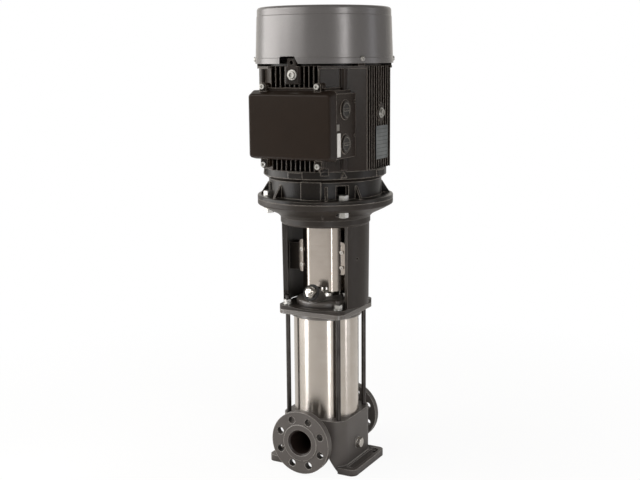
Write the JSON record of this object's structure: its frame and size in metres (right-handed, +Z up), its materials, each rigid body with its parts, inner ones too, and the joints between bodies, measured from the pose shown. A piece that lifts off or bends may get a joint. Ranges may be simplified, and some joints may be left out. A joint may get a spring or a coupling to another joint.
{
  "type": "vertical multistage pump",
  "caption": "Vertical multistage pump: cast base with two flanged ports in line, stainless sleeve clamped by tie rods, lantern stool with coupling guards, finned flange motor on top.",
  "frame": {"origin": "on the shaft axis, level with the underside of the feet", "axes": "+Z up along the shaft, +Y out of the discharge port, -Y out of the suction port on the terminal box side, +X to the side with the cable entries and the drain plug"},
  "size_m": [0.35, 0.395, 1.1895],
  "materials": {
    "cast_iron_grey": "painted dark warm grey, satin",
    "steel_bright": "polished stainless",
    "rod_steel": "dark oiled steel",
    "zinc_steel": "zinc plated",
    "vent_steel": "stainless",
    "pressed_steel": "pressed stainless",
    "shaft_steel": "ground steel",
    "coupling_iron": "machined iron",
    "motor_black": "cast, painted black-brown, satin",
    "core_steel": "stacked sheets",
    "copper": "wound and varnished wire",
    "fan_plastic": "moulded",
    "cover_grey": "metallic grey, satin",
    "rubber_black": "moulded",
    "board_plastic": "moulded",
    "plug_black": "moulded",
    "plate_metal": "matt, bare"
  },
  "bodies": {
    "pump": {"pump_base": "cast_iron_grey", "drain_plug": "zinc_steel", "outer_sleeve": "steel_bright", "sleeve_gaskets": "rubber_black", "tie_rods": "rod_steel", "tie_rod_nuts": "zinc_steel", "inlet_part": "pressed_steel", "chamber_1": "pressed_steel", "chamber_2": "pressed_steel", "chamber_3": "pressed_steel", "chamber_4": "pressed_steel", "chamber_5": "pressed_steel", "top_chamber": "pressed_steel", "pump_head": "cast_iron_grey", "vent_plug": "zinc_steel", "seal_cartridge": "pressed_steel", "motor_stool": "cast_iron_grey", "guard_front": "steel_bright", "guard_rear": "steel_bright", "guard_screws": "zinc_steel", "drive_end_shield": "motor_black", "flange_bolts": "zinc_steel", "flange_nuts": "zinc_steel", "motor_frame": "motor_black", "lifting_boss_screws": "zinc_steel", "stator_core": "core_steel", "stator_windings": "copper", "bearing_low_outer": "shaft_steel", "bearing_high_outer": "shaft_steel", "non_drive_shield": "motor_black", "shield_screws": "zinc_steel", "fan_cover": "cover_grey", "cover_screws": "zinc_steel", "terminal_box": "motor_black", "terminal_lid": "motor_black", "lid_screws": "zinc_steel", "terminal_board": "board_plastic", "blanking_plugs": "plug_black", "nameplate": "plate_metal"},
    "rotor": {"pump_shaft": "shaft_steel", "impeller_1": "pressed_steel", "impeller_2": "pressed_steel", "impeller_3": "pressed_steel", "impeller_4": "pressed_steel", "impeller_5": "pressed_steel", "shaft_nut": "pressed_steel", "seal_driver": "pressed_steel", "coupling_left": "coupling_iron", "coupling_right": "coupling_iron", "coupling_pin": "zinc_steel", "coupling_screws": "zinc_steel", "motor_shaft": "shaft_steel", "rotor_core": "core_steel", "bearing_low_inner": "shaft_steel", "bearing_high_inner": "shaft_steel", "cooling_fan": "fan_plastic"},
    "vent_screw": {"vent_screw": "vent_steel"},
    "balls_low": {"bearing_low_balls": "shaft_steel"},
    "balls_high": {"bearing_high_balls": "shaft_steel"}
  },
  "joints": [
    {"name": "shaft_spin", "type": "hinge", "parent": "pump", "child": "rotor", "pos_m": [0, 0, 0.5], "axis": [0, 0, 1], "continuous": true},
    {"name": "balls_low_spin", "type": "hinge", "parent": "pump", "child": "balls_low", "pos_m": [0, 0, 0.7725], "axis": [0, 0, 1], "continuous": true},
    {"name": "balls_high_spin", "type": "hinge", "parent": "pump", "child": "balls_high", "pos_m": [0, 0, 1.0685], "axis": [0, 0, 1], "continuous": true},
    {"name": "vent_screw_turn", "type": "hinge", "parent": "pump", "child": "vent_screw", "pos_m": [0, -0.079, 0.472], "axis": [0, -0.866, 0.5], "range_deg": [0, 360]}
  ],
  "couplings": [
    {"joint": "balls_low_spin", "follows": "shaft_spin", "ratio": 0.3828},
    {"joint": "balls_high_spin", "follows": "shaft_spin", "ratio": 0.3828}
  ]
}
